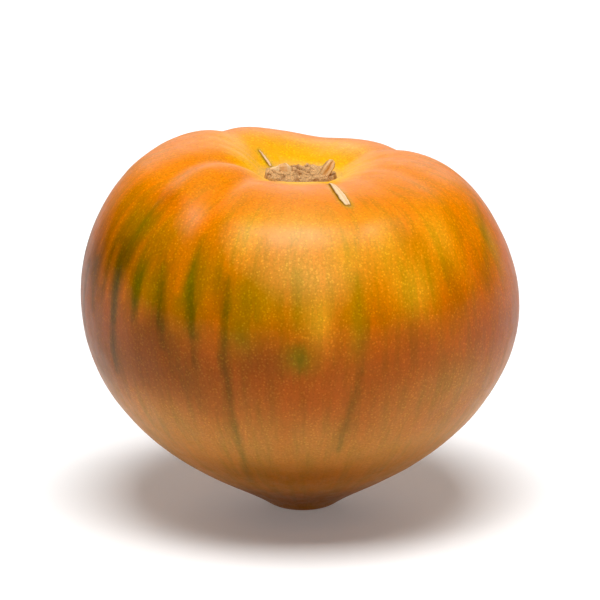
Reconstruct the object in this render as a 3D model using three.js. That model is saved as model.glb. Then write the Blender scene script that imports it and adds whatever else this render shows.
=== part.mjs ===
// A large heart-shaped tomato of the oxheart kind: five swollen lobes round a sunken stem
// scar, a belly widest a little above half its height, and a drawn-in tip that ends in a
// small flat spot on which the fruit stands.
//
// Units are millimetres, +Z is up and the fruit rests on z = 0. Azimuths are in degrees seen
// from above: 0 is the front (-Y), 90 the right (+X), 180 the back, -90 the left.
//
// The outer form is one closed surface q(azimuth, s). s runs along a meridian from the middle
// of the resting spot (0) over belly and shoulder into the stem cavity (19). Each meridian is a
// uniform cubic B-spline over the control rings below; its height and radius swell round the
// fruit with a few low Fourier terms, and the creases between the lobes are cut inwards.

import * as THREE from 'three';

// ---------------------------------------------------------------- driving dimensions

// Control rings of the meridian: mean radius and height (mm).
const RING_RADIUS = [-3.4, 0, 3.4, 6.4, 9.033, 15.157, 23.444, 31.643, 38.5, 43.688, 46.294, 46.142, 42.463, 36.707, 30.577, 23.408, 16.839, 10.8, 7.8, 4, 0, -4];
const RING_HEIGHT = [0, 0, 0, 0, 2.214, 5.719, 10.43, 16.855, 24.251, 33.2, 43.3, 53.9, 65.467, 73.855, 77.077, 78.845, 78.789, 76.4, 73.9, 73, 72.8, 72.7];
const TILT = [0, 0, 0, 0, 0.0007, -0.0003, -0.0021, -0.0027, -0.0013, -0.0019, -0.0014, 0.0018, 0.0009, -0.0023, -0.0081, -0.0049, 0.0008, 0, 0, 0, 0, 0]; // share of radius moved from the left to the right side, per ring
const OVAL = -0.035; // front-to-back squeeze of every ring, as a share of radius

// Swelling round the fruit, as cos/sin pairs of 1, 2, 3 ... waves.
const CREST_WAVES = [-1.205, -1.532, -1.254, 0.368, -0.184, -0.172, -0.325, 0.196, 0.093, 0.096]; // height of the crest ring (mm)
const SHOULDER_WAVES = [0.799, -1.282, -0.312, -1.011, -0.75, -0.058]; // height of the outer shoulder (mm)
const REACH_WAVES = [-0.0007, -0.013, 0.0425, 0.0154, -0.0092, 0.0055]; // radius of the crest, as a share
const CREST_WEIGHT = [0, 0, 0, 0, 0, 0, 0, 0, 0, 0, 0, 0.08, 0.32, 0.72, 1, 1, 0.62, 0.18, 0, 0, 0, 0];
const SHOULDER_WEIGHT = [0, 0, 0, 0, 0, 0, 0, 0, 0, 0.25, 0.8, 1, 0.6, 0.15, 0, 0, 0, 0, 0, 0, 0, 0];
const REACH_WEIGHT = [0, 0, 0, 0, 0, 0, 0, 0, 0, 0, 0, 0.15, 0.5, 0.9, 1, 0.8, 0.4, 0.1, 0, 0, 0, 0];

// Creases between lobes: azimuth at belly, shoulder, crest and scar; depth; half width at
// belly, crest and scar; and where on the meridian the crease has faded out.
const CREASES = [
  [-33, -35, -38, -45, 2.05, 7, 9, 14, 8],
  [-60, -60, -70, -82, 2.38, 7, 9, 14, 8.5],
  [-145, -145, -138, -125, 1.63, 8, 10, 16, 8],
  [170, 170, 171, 172, 0.96, 10, 14, 18, 8],
  [136, 134, 126, 116, 1.48, 8, 10, 16, 8],
  [17, 20, 27, 38, 1.03, 8, 10, 13, 8],
  [31, 34, 42, 56, 0.4, 7, 8, 12, 9],
  [55, 58, 66, 80, 0.45, 7, 8, 12, 9],
  [92, 94, 96, 100, 0.7, 7, 8, 12, 9],
];

// Local swellings: azimuth, place on the meridian, widths of both, height (mm).
const SWELLINGS = [[48, 15, 24, 1.4, -0.79], [-95, 15.8, 28, 1.1, 1.42], [-58, 15.5, 12, 1, 0.44], [-5, 15.2, 22, 1, -0.62], [80, 14, 20, 1.5, -0.02], [150, 14.5, 25, 1.5, -0.13]];

const CORE_HEIGHT = 45; // creases and swellings push towards or away from this point of the axis
const TIP_OFFSET = 0.6; // the tip stands this far to the right of the axis
const FLAT_CUT = 0.15; // how much of the tip is flattened where it rests

const SKIN_STEPS = 80; // facets round the fruit
const SKIN_ROWS = [1.74, 2.05, 2.6, 3.2, 4, 4.8, 5.6, 6.4, 7.2, 8, 8.8, 9.6, 10.4, 11.1, 11.7, 12.2,
  12.7, 13.2, 13.6, 14, 14.4, 14.8, 15.2, 15.6, 16, 16.4, 16.8, 17.2, 17.7, 18.3];

const CLEARANCE = 0.45; // air between the skin and what lies on it
const SCAR_TOP = 75.0; // height of the corky scar's face
const SCAR_STEPS = 32;
const SCAR_ROWS = [16.92, 17.25, 17.7, 18.25];
const SCAR_ROUGHNESS = 0.22;

const TONGUE = { height: 3.0, width: 2.7, thickness: 0.75, foot: [5.6, -2.2], lean: 28, turn: 12 };
const FLAP = { height: 1.5, width: 5.0, thickness: 0.7, foot: [-4.1, 1.9], lean: 0, turn: -12 };

// Dry slivers lying on the skin: [azimuth, place on the meridian, half width] along each.
const LEFT_SLIVER = { thickness: 0.5, path: [[-134.1, 16.38, 0.4], [-134.9, 16.2, 0.48], [-135.7, 15.95, 0.45], [-136.8, 15.65, 0.35], [-138.6, 15.3, 0.1]] };
const FRONT_SLIVER = { thickness: 0.55, path: [[24.6, 15.25, 0.1], [23.6, 14.95, 0.4], [22.4, 14.55, 0.62], [21.4, 14.1, 0.8], [20.8, 13.65, 0.84], [20.7, 13.35, 0.66], [20.9, 13.15, 0.25]] };

// ---------------------------------------------------------------- the fruit's surface

const RAD = Math.PI / 180;
const SPANS = RING_RADIUS.length - 3;

function spline(control, s) {
  const t = Math.min(Math.max(s, 0), SPANS - 1e-9);
  const i = Math.floor(t);
  const f = t - i;
  const w = [(1 - f) ** 3, 3 * f ** 3 - 6 * f ** 2 + 4, -3 * f ** 3 + 3 * f ** 2 + 3 * f + 1, f ** 3];
  return (w[0] * control[i] + w[1] * control[i + 1] + w[2] * control[i + 2] + w[3] * control[i + 3]) / 6;
}

function smooth(a, b, x) {
  const t = Math.min(Math.max((x - a) / (b - a), 0), 1);
  return t * t * (3 - 2 * t);
}

function table(x, xs, ys) {
  if (x <= xs[0]) return ys[0];
  for (let i = 1; i < xs.length; i++) {
    if (x <= xs[i]) return ys[i - 1] + (ys[i] - ys[i - 1]) * (x - xs[i - 1]) / (xs[i] - xs[i - 1]);
  }
  return ys[ys.length - 1];
}

function waves(pairs, a) {
  let sum = 0;
  for (let k = 1; 2 * k <= pairs.length; k++) sum += pairs[2 * k - 2] * Math.cos(k * a) + pairs[2 * k - 1] * Math.sin(k * a);
  return sum;
}

const wrap = (d) => ((d + 180) % 360 + 360) % 360 - 180;

function skin(azimuth, s) {
  const a = azimuth * RAD;
  const z = spline(RING_HEIGHT, s) + spline(CREST_WEIGHT, s) * waves(CREST_WAVES, a) + spline(SHOULDER_WEIGHT, s) * waves(SHOULDER_WAVES, a);
  const r = spline(RING_RADIUS, s) * (1 + spline(TILT, s) * Math.sin(a) + OVAL * Math.cos(2 * a) + spline(REACH_WEIGHT, s) * waves(REACH_WAVES, a));
  const q = new THREE.Vector3(r * Math.sin(a), -r * Math.cos(a), z);
  let inward = 0;
  for (const [belly, shoulder, crest, scar, depth, wBelly, wCrest, wScar, fade] of CREASES) {
    const at = table(s, [9, 12, 14, 16.5], [belly, shoulder, crest, scar]);
    const width = table(s, [9, 14, 16.5], [wBelly, wCrest, wScar]);
    const amount = depth * smooth(fade, 13.2, s) * (1 - 0.75 * smooth(15.2, 17.2, s)) * (1 - smooth(16.8, 17.8, s));
    inward += amount / (1 + (wrap(azimuth - at) / width) ** 2);
  }
  for (const [at, place, wAt, wPlace, height] of SWELLINGS) {
    inward -= height * Math.exp(-((wrap(azimuth - at) / wAt) ** 2) - ((s - place) / wPlace) ** 2);
  }
  const out = q.clone().sub(new THREE.Vector3(0, 0, CORE_HEIGHT)).normalize();
  q.addScaledVector(out, -inward);
  q.x += TIP_OFFSET * (1 - smooth(0, 9, s));
  q.z = Math.max(q.z - FLAT_CUT, 0);
  return q;
}

function skinNormal(azimuth, s) {
  const da = skin(azimuth + 0.5, s).sub(skin(azimuth - 0.5, s));
  const ds = skin(azimuth, s + 0.05).sub(skin(azimuth, s - 0.05));
  const n = da.cross(ds).normalize();
  const outwards = skin(azimuth, s).sub(new THREE.Vector3(0, 0, CORE_HEIGHT));
  return n.dot(outwards) < 0 ? n.negate() : n;
}

// ---------------------------------------------------------------- helpers for closed meshes

// Rings of equal length, first to last, closed by a middle point at either end.
function closedRings(start, rings, end) {
  const n = rings[0].length;
  const position = [];
  const index = [];
  const put = (p) => { position.push(p.x, p.y, p.z); return position.length / 3 - 1; };
  const first = put(start);
  const base = rings.map((ring) => ring.map(put)[0]);
  const last = put(end);
  for (let j = 0; j < n; j++) {
    const k = (j + 1) % n;
    index.push(first, base[0] + k, base[0] + j);
    for (let i = 0; i + 1 < rings.length; i++) {
      const a = base[i] + j;
      const b = base[i] + k;
      const c = base[i + 1] + k;
      const d = base[i + 1] + j;
      index.push(a, b, c, a, c, d);
    }
    index.push(last, base[rings.length - 1] + j, base[rings.length - 1] + k);
  }
  const geometry = new THREE.BufferGeometry();
  geometry.setAttribute('position', new THREE.Float32BufferAttribute(position, 3));
  geometry.setIndex(index);
  geometry.computeVertexNormals();
  return geometry;
}

const roughness = (x, y) => SCAR_ROUGHNESS * (Math.sin(1.9 * x + 0.7 * y + 0.4) * Math.cos(1.3 * y - 0.8 * x) + 0.6 * Math.sin(3.1 * y + 2.3 * x + 1.1));

function named(name, geometry, colour, rough) {
  const mesh = new THREE.Mesh(geometry, new THREE.MeshStandardMaterial({ color: colour, roughness: rough, metalness: 0 }));
  mesh.name = name;
  return mesh;
}

// ---------------------------------------------------------------- fruit

function fruitGeometry() {
  const rings = SKIN_ROWS.map((s) => Array.from({ length: SKIN_STEPS }, (_, j) => skin(-180 + 360 * j / SKIN_STEPS, s)));
  return closedRings(skin(0, 0), rings, skin(0, SPANS));
}

// ---------------------------------------------------------------- corky stem scar

function scarGeometry() {
  const az = Array.from({ length: SCAR_STEPS }, (_, j) => -180 + 360 * j / SCAR_STEPS);
  const ragged = (a) => 0.1 * Math.sin(5 * a * RAD + 0.6) + 0.07 * Math.sin(9 * a * RAD) + 0.06 * Math.cos(13 * a * RAD + 1);
  const under = SCAR_ROWS.map((s, i) => az.map((a) => {
    const q = skin(a, i === 0 ? s + ragged(a) : s);
    q.z += CLEARANCE;
    return q;
  }));
  const face = under.map((ring) => ring.map((q) => new THREE.Vector3(q.x, q.y, Math.max(SCAR_TOP + roughness(q.x, q.y), q.z + 0.25))));
  const middle = skin(0, SPANS);
  const low = middle.clone().setZ(middle.z + CLEARANCE);
  const high = middle.clone().setZ(SCAR_TOP + roughness(0, 0));
  return closedRings(low, [...under.slice().reverse(), ...face], high);
}

// ---------------------------------------------------------------- dry sepal remnants

// A thin upright leaf stub with a rounded tip, standing on the scar.
function stubGeometry({ height, width, thickness }) {
  const outline = new THREE.Shape();
  outline.moveTo(-width / 2, 0);
  outline.lineTo(width / 2, 0);
  outline.lineTo(0.46 * width, 0.6 * height);
  outline.quadraticCurveTo(0.42 * width, height, 0.1 * width, height);
  outline.quadraticCurveTo(-0.36 * width, 0.96 * height, -0.44 * width, 0.55 * height);
  outline.closePath();
  const geometry = new THREE.ExtrudeGeometry(outline, { depth: thickness, bevelEnabled: false, curveSegments: 5 });
  geometry.translate(0, 0, -thickness / 2);
  geometry.rotateX(Math.PI / 2);
  return geometry;
}

function placeStub(mesh, { foot, lean, turn, width }) {
  mesh.position.set(foot[0], foot[1], SCAR_TOP + SCAR_ROUGHNESS * 1.6 + 0.3 + 0.5 * width * Math.sin(Math.abs(lean) * RAD));
  mesh.rotation.order = 'ZYX';
  mesh.rotation.z = turn * RAD;
  mesh.rotation.y = lean * RAD;
  return mesh;
}

// A flat sliver that follows the skin, thickest along its middle.
function sliverGeometry({ thickness, path }) {
  const at = path.map(([a, s]) => skin(a, s).addScaledVector(skinNormal(a, s), CLEARANCE));
  const rings = path.map(([a, s, half], i) => {
    const along = at[Math.min(i + 1, at.length - 1)].clone().sub(at[Math.max(i - 1, 0)]).normalize();
    const up = skinNormal(a, s);
    const side = up.clone().cross(along).normalize();
    const point = (u, v) => at[i].clone().addScaledVector(side, u).addScaledVector(up, v);
    return [point(half, 0.12), point(0.55 * half, thickness), point(-0.55 * half, thickness), point(-half, 0.12), point(0, 0)];
  });
  const end = (i, k) => {
    const along = at[i].clone().sub(at[k]).normalize();
    return at[i].clone().addScaledVector(along, 0.3).addScaledVector(skinNormal(path[i][0], path[i][1]), 0.2);
  };
  const n = at.length - 1;
  return closedRings(end(0, 1), rings, end(n, n - 1));
}

// ---------------------------------------------------------------- the whole fruit

const tomato = new THREE.Group();
const fruit = named('fruit', fruitGeometry(), 0xd2691e, 0.4);
tomato.add(
  fruit,
  named('stem_scar', scarGeometry(), 0x8a6238, 0.9),
  placeStub(named('sepal_stub_right', stubGeometry(TONGUE), 0xc7a878, 0.85), TONGUE),
  placeStub(named('sepal_stub_left', stubGeometry(FLAP), 0xcdb084, 0.85), FLAP),
  named('sepal_sliver_left', sliverGeometry(LEFT_SLIVER), 0xd9c49a, 0.8),
  named('sepal_sliver_front', sliverGeometry(FRONT_SLIVER), 0xe6d3a6, 0.8),
);

// The origin is under the middle of the fruit.
fruit.geometry.computeBoundingBox();
const middle = fruit.geometry.boundingBox.getCenter(new THREE.Vector3());
tomato.position.set(-middle.x, -middle.y, 0);

export default tomato;
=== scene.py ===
import bpy
import math
import numpy as np
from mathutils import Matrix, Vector


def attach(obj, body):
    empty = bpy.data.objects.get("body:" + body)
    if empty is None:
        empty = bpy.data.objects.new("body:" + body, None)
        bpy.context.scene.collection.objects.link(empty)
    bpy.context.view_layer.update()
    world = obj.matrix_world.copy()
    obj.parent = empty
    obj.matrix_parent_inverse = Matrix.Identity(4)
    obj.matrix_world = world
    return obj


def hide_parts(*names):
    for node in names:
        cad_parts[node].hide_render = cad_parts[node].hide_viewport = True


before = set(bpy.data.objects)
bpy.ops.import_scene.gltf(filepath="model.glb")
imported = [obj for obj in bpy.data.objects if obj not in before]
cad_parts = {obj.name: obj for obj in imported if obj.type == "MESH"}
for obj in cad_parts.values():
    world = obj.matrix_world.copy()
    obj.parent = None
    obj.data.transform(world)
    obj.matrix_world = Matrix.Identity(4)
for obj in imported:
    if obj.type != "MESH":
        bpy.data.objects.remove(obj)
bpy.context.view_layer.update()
scene = bpy.context.scene

# ------------------------------------------------------------------ camera
AIM = Vector((0.0, 0.0, 0.0462))
ELEVATION = math.radians(16.0)
DISTANCE = 0.8
cam_data = bpy.data.cameras.new("camera")
cam_data.lens = 221.8
cam_data.sensor_width = 36.0
cam_data.clip_start = 0.01
camera = bpy.data.objects.new("camera", cam_data)
scene.collection.objects.link(camera)
camera.location = AIM + DISTANCE * Vector((0.0, -math.cos(ELEVATION), math.sin(ELEVATION)))
camera.rotation_euler = (math.radians(90) - ELEVATION, 0.0, 0.0)
scene.camera = camera
scene.view_settings.view_transform = "Standard"
scene.view_settings.look = "None"
scene.view_settings.use_curve_mapping = True
scene.view_settings.curve_mapping.black_level = (0.016, 0.016, 0.016)
scene.view_settings.curve_mapping.update()

# ------------------------------------------------------------------ the fruit's surface
RING_RADIUS = np.array([-3.4, 0, 3.4, 6.4, 9.033, 15.157, 23.444, 31.643, 38.5, 43.688, 46.294, 46.142, 42.463, 36.707, 30.577, 23.408, 16.839, 10.8, 7.8, 4, 0, -4])
RING_HEIGHT = np.array([0, 0, 0, 0, 2.214, 5.719, 10.43, 16.855, 24.251, 33.2, 43.3, 53.9, 65.467, 73.855, 77.077, 78.845, 78.789, 76.4, 73.9, 73, 72.8, 72.7])
TILT = np.array([0, 0, 0, 0, 0.0007, -0.0003, -0.0021, -0.0027, -0.0013, -0.0019, -0.0014, 0.0018, 0.0009, -0.0023, -0.0081, -0.0049, 0.0008, 0, 0, 0, 0, 0])
OVAL = -0.035
CREST_WAVES = [-1.205, -1.532, -1.254, 0.368, -0.184, -0.172, -0.325, 0.196, 0.093, 0.096]
SHOULDER_WAVES = [0.799, -1.282, -0.312, -1.011, -0.75, -0.058]
REACH_WAVES = [-0.0007, -0.013, 0.0425, 0.0154, -0.0092, 0.0055]
CREST_WEIGHT = np.array([0, 0, 0, 0, 0, 0, 0, 0, 0, 0, 0, 0.08, 0.32, 0.72, 1, 1, 0.62, 0.18, 0, 0, 0, 0])
SHOULDER_WEIGHT = np.array([0, 0, 0, 0, 0, 0, 0, 0, 0, 0.25, 0.8, 1, 0.6, 0.15, 0, 0, 0, 0, 0, 0, 0, 0])
REACH_WEIGHT = np.array([0, 0, 0, 0, 0, 0, 0, 0, 0, 0, 0, 0.15, 0.5, 0.9, 1, 0.8, 0.4, 0.1, 0, 0, 0, 0])
CREASES = [
    (-33, -35, -38, -45, 2.05, 7, 9, 14, 8),
    (-60, -60, -70, -82, 2.38, 7, 9, 14, 8.5),
    (-145, -145, -138, -125, 1.63, 8, 10, 16, 8),
    (170, 170, 171, 172, 0.96, 10, 14, 18, 8),
    (136, 134, 126, 116, 1.48, 8, 10, 16, 8),
    (17, 20, 27, 38, 1.03, 8, 10, 13, 8),
    (31, 34, 42, 56, 0.4, 7, 8, 12, 9),
    (55, 58, 66, 80, 0.45, 7, 8, 12, 9),
    (92, 94, 96, 100, 0.7, 7, 8, 12, 9),
]
SWELLINGS = [(48, 15, 24, 1.4, -0.79), (-95, 15.8, 28, 1.1, 1.42), (-58, 15.5, 12, 1, 0.44), (-5, 15.2, 22, 1, -0.62), (80, 14, 20, 1.5, -0.02), (150, 14.5, 25, 1.5, -0.13)]
CORE = np.array([0.0, 0.0, 45.0])
TIP_OFFSET = 0.6
FLAT_CUT = 0.15
SPANS = len(RING_RADIUS) - 3


def smooth(a, b, x):
    t = np.clip((x - a) / (b - a), 0.0, 1.0)
    return t * t * (3.0 - 2.0 * t)


def wrap(d):
    return (np.asarray(d, float) + 180.0) % 360.0 - 180.0


def spline(control, s):
    t = np.clip(s, 0.0, SPANS - 1e-9)
    i = np.floor(t).astype(int)
    f = t - i
    return ((1 - f) ** 3 * control[i] + (3 * f**3 - 6 * f**2 + 4) * control[i + 1]
            + (-3 * f**3 + 3 * f**2 + 3 * f + 1) * control[i + 2] + f**3 * control[i + 3]) / 6.0


def waves(pairs, a):
    return sum(pairs[2 * k - 2] * np.cos(k * a) + pairs[2 * k - 1] * np.sin(k * a) for k in range(1, len(pairs) // 2 + 1))


def skin(azimuth, s):
    """Points of the fruit's surface in millimetres, before it is centred."""
    azimuth, s = np.broadcast_arrays(np.asarray(azimuth, float), np.asarray(s, float))
    a = np.radians(azimuth)
    z = spline(RING_HEIGHT, s) + spline(CREST_WEIGHT, s) * waves(CREST_WAVES, a) + spline(SHOULDER_WEIGHT, s) * waves(SHOULDER_WAVES, a)
    r = spline(RING_RADIUS, s) * (1 + spline(TILT, s) * np.sin(a) + OVAL * np.cos(2 * a) + spline(REACH_WEIGHT, s) * waves(REACH_WAVES, a))
    q = np.stack([r * np.sin(a), -r * np.cos(a), z], -1)
    inward = np.zeros_like(r)
    for belly, shoulder, crest, scar, depth, w_belly, w_crest, w_scar, fade in CREASES:
        at = np.interp(s, [9, 12, 14, 16.5], [belly, shoulder, crest, scar])
        width = np.interp(s, [9, 14, 16.5], [w_belly, w_crest, w_scar])
        amount = depth * smooth(fade, 13.2, s) * (1 - 0.75 * smooth(15.2, 17.2, s)) * (1 - smooth(16.8, 17.8, s))
        inward += amount / (1 + (wrap(azimuth - at) / width) ** 2)
    for at, place, w_at, w_place, height in SWELLINGS:
        inward -= height * np.exp(-((wrap(azimuth - at) / w_at) ** 2) - ((s - place) / w_place) ** 2)
    out = q - CORE
    out /= np.linalg.norm(out, axis=-1, keepdims=True)
    q = q - out * inward[..., None]
    q[..., 0] += TIP_OFFSET * (1 - smooth(0, 9, s))
    q[..., 2] = np.maximum(q[..., 2] - FLAT_CUT, 0.0)
    return q


def skin_normal(azimuth, s):
    da = skin(np.asarray(azimuth) + 0.4, s) - skin(np.asarray(azimuth) - 0.4, s)
    ds = skin(azimuth, np.asarray(s) + 0.04) - skin(azimuth, np.asarray(s) - 0.04)
    n = np.cross(da, ds)
    n /= np.linalg.norm(n, axis=-1, keepdims=True) + 1e-12
    flip = np.sign((n * (skin(azimuth, s) - CORE)).sum(-1, keepdims=True))
    return n * flip


_a = np.linspace(-180, 180, 721)[:-1]
_q = skin(_a[:, None], np.linspace(6, 14, 161)[None, :]).reshape(-1, 3)
CENTRE = np.array([(_q[:, 0].min() + _q[:, 0].max()) / 2, (_q[:, 1].min() + _q[:, 1].max()) / 2, 0.0])


def metres(q):
    return (np.asarray(q, float) - CENTRE) * 0.001


# ------------------------------------------------------------------ small seeded noise
class Noise:
    """Smooth value noise over three dimensions, the same in every run."""

    def __init__(self, seed):
        self.table = np.random.RandomState(seed).rand(32, 32, 32)

    def __call__(self, p, scale=1.0):
        p = np.asarray(p, float) * scale + 64.0
        i = np.floor(p).astype(int)
        f = p - i
        f = f * f * (3 - 2 * f)
        out = 0.0
        for dx in (0, 1):
            for dy in (0, 1):
                for dz in (0, 1):
                    w = (f[..., 0] if dx else 1 - f[..., 0]) * (f[..., 1] if dy else 1 - f[..., 1]) * (f[..., 2] if dz else 1 - f[..., 2])
                    out = out + w * self.table[(i[..., 0] + dx) % 32, (i[..., 1] + dy) % 32, (i[..., 2] + dz) % 32]
        return 2 * out - 1

    def rough(self, p, scale, octaves=3, gain=0.5):
        return sum(self(p + 3.7 * k, scale * 2**k) * gain**k for k in range(octaves)) / sum(gain**k for k in range(octaves))


def linear(r, g, b):
    c = np.array([r, g, b], float) / 255.0
    return np.where(c <= 0.04045, c / 12.92, ((c + 0.055) / 1.055) ** 2.4)


# ------------------------------------------------------------------ meshes
def mesh_object(name, verts, faces, smooth_shade=True):
    mesh = bpy.data.meshes.new(name)
    mesh.from_pydata([tuple(v) for v in verts], [], faces)
    mesh.update()
    if smooth_shade:
        mesh.polygons.foreach_set("use_smooth", [True] * len(mesh.polygons))
    obj = bpy.data.objects.new(name, mesh)
    scene.collection.objects.link(obj)
    return obj


def grid_faces(n_around, n_rows, first=0, flip=False):
    """Quads of rings of n_around points, one ring after another, closed around."""
    j = np.arange(n_around)
    k = (j + 1) % n_around
    out = []
    for i in range(n_rows - 1):
        a = first + i * n_around
        b = a + n_around
        quad = np.stack([a + j, a + k, b + k, b + j], 1)
        out.append(quad[:, ::-1] if flip else quad)
    return np.concatenate(out).tolist()


def float_attribute(obj, name, values):
    attribute = obj.data.attributes.new(name, "FLOAT", "POINT")
    attribute.data.foreach_set("value", np.asarray(values, np.float32).ravel())


def vector_attribute(obj, name, values):
    attribute = obj.data.attributes.new(name, "FLOAT_VECTOR", "POINT")
    attribute.data.foreach_set("vector", np.asarray(values, np.float32).ravel())


def color_attribute(obj, name, values):
    attribute = obj.data.color_attributes.new(name, "FLOAT_COLOR", "POINT")
    rgba = np.concatenate([np.asarray(values, np.float32), np.ones((len(values), 1), np.float32)], 1)
    attribute.data.foreach_set("color", rgba.ravel())


# ------------------------------------------------------------------ the fruit
AROUND = 440
knots = np.array([0, 1.2, 2.4, 9.0, 11.5, 16.2, 17.2, 19.0])
density = np.array([3, 4, 9, 9.5, 11, 13, 11, 4])
fine = np.linspace(0, 19, 4001)
cumulative = np.concatenate([[0], np.cumsum(np.interp((fine[1:] + fine[:-1]) / 2, knots, density) * np.diff(fine))])
ROWS = 196
row_s = np.interp(np.linspace(0, cumulative[-1], ROWS + 2)[1:-1], cumulative, fine)
row_s[np.argmin(abs(row_s - 1.74))] = 1.74
azimuths = -180 + 360 * np.arange(AROUND) / AROUND
S, A = np.meshgrid(row_s, azimuths, indexing="ij")
Q = skin(A, S)
N = skin_normal(A, S)

lump = Noise(11)
swell = 0.22 * lump.rough(Q, 1 / 17.0, 2) + 0.07 * lump.rough(Q + 31, 1 / 5.0, 2)
swell *= smooth(3.0, 5.0, S) * (1 - smooth(16.2, 16.8, S))
# fine pleats that run from the scar's rim up over the crest
pleat = np.zeros_like(S)
for k, (at, depth) in enumerate([(-170, .18), (-152, .26), (-118, .22), (-104, .3), (-92, .16), (-62, .22), (-20, .14), (2, .1), (16, .16),
                                 (47, .22), (58, .26), (70, .2), (82, .28), (108, .25), (136, .22), (151, .2), (163, .16)]):
    pleat -= depth * np.exp(-((wrap(A - at - 2.0 * np.sin(S * 1.7 + k)) / 3.2) ** 2)) * smooth(13.2, 15.6, S) * (1 - smooth(16.9, 17.3, S))
# raised lip of skin in front of the stem scar
lip_front = 0.42 * np.exp(-((wrap(A - 3) / 62) ** 4)) * np.exp(-(((S - 16.62) / 0.22) ** 2))
Q = Q + N * (swell + 0.2 * pleat)[..., None]
Q[..., 2] += lip_front
Q[..., 2] = np.maximum(Q[..., 2], 0.0)
start, end = skin(0.0, 0.0), skin(0.0, 19.0)
verts = np.concatenate([start[None], Q.reshape(-1, 3), end[None]])
faces = grid_faces(AROUND, ROWS, 1)
last = len(verts) - 1
top = 1 + (ROWS - 1) * AROUND
for j in range(AROUND):
    k = (j + 1) % AROUND
    faces.append([0, 1 + k, 1 + j])
    faces.append([last, top + j, top + k])
fruit = mesh_object("tomato_skin", metres(verts), faces)

# ------------------------------------------------------------------ colour of the skin
vs = np.concatenate([[0.0], S.ravel(), [19.0]])
va = np.concatenate([[0.0], A.ravel(), [0.0]])
float_attribute(fruit, "along", vs)

# Ground colour along a meridian: place, colour.
PALETTE = {
    "yellow": (250, 175, 20), "gold": (240, 165, 40), "apricot": (240, 170, 75), "orange": (235, 130, 15),
    "burnt": (210, 105, 15), "ochre": (190, 130, 20), "olive": (155, 115, 15), "moss": (95, 70, 10),
    "russet": (180, 88, 25), "brown": (135, 72, 20), "umber": (105, 62, 12), "tan": (190, 125, 55),
}
# From the tip (0) over belly and shoulder into the stem cavity (19). The brown tip and the dusky belly are partly the
# skin's own colour, partly painted shade of the underside; the lighter tan band low on the belly (5 to 7) is partly the
# skin's own tan, partly painted reflection of the pale floor.
BASE = [
    (0, "brown"), (5, "tan"), (7, "tan"), (9, "russet"), (10.5, "burnt"), (12.5, "orange"), (15, "orange"), (16.2, "yellow"), (19, "gold"),
]
# Broad patches laid one over another: azimuth, place, widths of both, colour.
PATCHES = [
    # left lobe: olive and moss over an orange shoulder, brown underneath (partly painted shade), tan low down (partly
    # painted floor reflection)
    (-55, 11.3, 15, 0.8, "olive"), (-57, 10.4, 11, 0.6, "moss"), (-45, 10.2, 7, 0.6, "olive"), (-72, 10.2, 9, 0.8, "umber"), (-50, 12.2, 12, 0.4, "burnt"),
    (-40, 12.4, 7, 0.8, "orange"), (-42, 9.2, 9, 0.5, "brown"), (-33, 10.4, 4, 0.9, "olive"), (-27, 10.6, 4, 0.8, "olive"),
    (-70, 8.4, 14, 0.9, "brown"), (-42, 8.6, 24, 0.7, "brown"), (-50, 7.2, 18, 0.6, "tan"),
    # front lobe: pale apricot crown where the key light's highlight falls, partly the skin's own paler tone, partly
    # painted highlight; gold and olive middle; reddish belly turning brown low down, partly painted shade
    (0, 12.1, 16, 1.0, "apricot"), (-17, 11.8, 6, 0.8, "gold"), (14, 11.4, 6, 0.9, "gold"), (-16, 10.3, 5, 0.6, "olive"),
    (-15, 9.6, 4, 0.4, "olive"), (-9, 10.4, 5, 0.6, "ochre"), (0, 10.4, 4, 0.6, "ochre"), (6, 10.2, 4, 0.6, "gold"),
    (2, 11.0, 12, 0.5, "apricot"), (-10, 9.1, 8, 0.5, "brown"), (2, 8.5, 14, 0.6, "russet"), (0, 9.3, 4, 0.3, "olive"), (0, 5.8, 55, 0.8, "brown"),
    # right groove and rib
    (16, 10.1, 3, 0.8, "ochre"), (26, 11.6, 7, 1.0, "gold"), (33, 10.6, 6, 0.6, "gold"), (20, 9.2, 6, 0.5, "russet"), (30, 9.2, 6, 0.5, "russet"),
    # right lobe: orange shoulder, russet belly (partly painted shade), tan low down (partly painted floor reflection)
    (46, 11.4, 8, 0.8, "gold"), (46, 10.2, 4, 0.8, "burnt"), (64, 11.4, 8, 0.8, "orange"), (70, 10.9, 4, 0.6, "ochre"),
    (54, 9.4, 8, 0.6, "russet"), (46, 8.3, 16, 0.7, "tan"),
    # stem cavity and crests; the pale apricot on the right-back crest is partly painted sheen
    (180, 15.6, 80, 0.9, "yellow"), (-130, 15.0, 22, 0.8, "gold"), (170, 14.8, 24, 0.5, "gold"), (138, 15.0, 18, 0.5, "apricot"),
    # brown over the tip: partly the skin's own brown, partly painted shade of the underside
    (0, 4, 90, 1.2, "brown"),
    # far side: the same run of orange lobes, olive shoulders and reddish belly; the russet, brown and tan low down are
    # partly painted shade and painted floor reflection
    (100, 10.9, 9, 0.9, "burnt"), (112, 9.8, 8, 0.9, "russet"), (124, 11.4, 7, 1.0, "olive"), (140, 10.4, 8, 1.1, "burnt"),
    (158, 11.2, 9, 1.0, "olive"), (176, 10.0, 9, 1.0, "burnt"), (-166, 11.3, 8, 0.9, "olive"), (-150, 10.2, 9, 1.0, "burnt"),
    (-133, 11.0, 8, 1.1, "olive"), (-118, 10.1, 8, 1.0, "russet"), (-102, 11.0, 8, 1.0, "olive"), (-88, 9.8, 8, 0.9, "umber"),
    (120, 8.4, 16, 0.8, "russet"), (165, 8.2, 18, 0.8, "russet"), (-150, 8.3, 16, 0.8, "russet"), (-110, 8.4, 14, 0.8, "brown"),
    (150, 7.0, 24, 0.6, "tan"), (-135, 7.1, 24, 0.6, "tan"), (150, 13.2, 30, 0.8, "orange"), (-140, 13.1, 30, 0.8, "orange"),
]

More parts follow.
